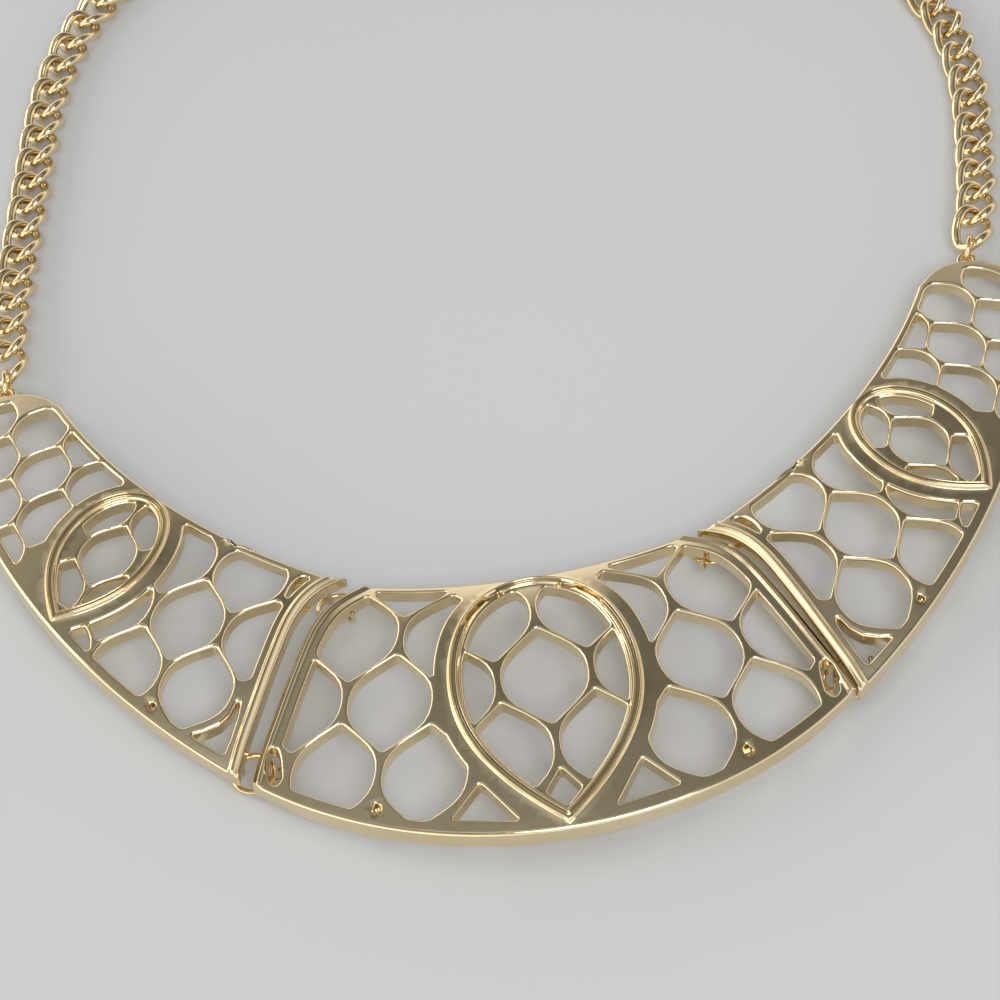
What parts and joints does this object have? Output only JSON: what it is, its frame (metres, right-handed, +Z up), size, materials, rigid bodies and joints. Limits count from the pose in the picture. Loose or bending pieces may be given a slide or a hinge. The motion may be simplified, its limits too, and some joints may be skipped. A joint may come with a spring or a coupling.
{
  "type": "bib necklace",
  "caption": "Bib necklace of three pierced ogee-lattice plates with raised teardrop medallions, hinged on jump rings and closed by a curb chain.",
  "frame": {"origin": "centre of the loop's bounding box, on the surface the necklace lies on", "axes": "+Z up from that surface, -Y toward the wearer's chest side of the bib, +Y toward the clasp at the back of the neck"},
  "size_m": [0.1732, 0.219, 0.0093],
  "materials": {
    "plate_gold": "polished champagne-gold plating",
    "ring_gold": "polished gold plating",
    "chain_gold": "polished champagne-gold plating",
    "clasp_gold": "polished champagne-gold plating"
  },
  "bodies": {
    "root": {"centre_plate": "plate_gold", "chain_back_left": "chain_gold", "chain_back_right": "chain_gold", "clasp": "clasp_gold", "clasp_ring_left": "ring_gold", "clasp_ring_right": "ring_gold", "end_ring_left": "ring_gold", "end_ring_right": "ring_gold", "joint_ring_left_neck": "ring_gold", "joint_ring_left_outer": "ring_gold", "joint_ring_right_neck": "ring_gold", "joint_ring_right_outer": "ring_gold", "left_plate": "plate_gold", "link_left_01": "chain_gold", "link_left_02": "chain_gold", "link_left_03": "chain_gold", "link_left_04": "chain_gold", "link_left_05": "chain_gold", "link_left_06": "chain_gold", "link_left_07": "chain_gold", "link_left_08": "chain_gold", "link_left_09": "chain_gold", "link_left_10": "chain_gold", "link_left_11": "chain_gold", "link_left_12": "chain_gold", "link_left_13": "chain_gold", "link_left_14": "chain_gold", "link_left_15": "chain_gold", "link_left_16": "chain_gold", "link_left_17": "chain_gold", "link_left_18": "chain_gold", "link_left_19": "chain_gold", "link_left_20": "chain_gold", "link_right_01": "chain_gold", "link_right_02": "chain_gold", "link_right_03": "chain_gold", "link_right_04": "chain_gold", "link_right_05": "chain_gold", "link_right_06": "chain_gold", "link_right_07": "chain_gold", "link_right_08": "chain_gold", "link_right_09": "chain_gold", "link_right_10": "chain_gold", "link_right_11": "chain_gold", "link_right_12": "chain_gold", "link_right_13": "chain_gold", "link_right_14": "chain_gold", "link_right_15": "chain_gold", "link_right_16": "chain_gold", "link_right_17": "chain_gold", "link_right_18": "chain_gold", "link_right_19": "chain_gold", "link_right_20": "chain_gold", "link_right_21": "chain_gold", "right_plate": "plate_gold"}
  },
  "joints": []
}
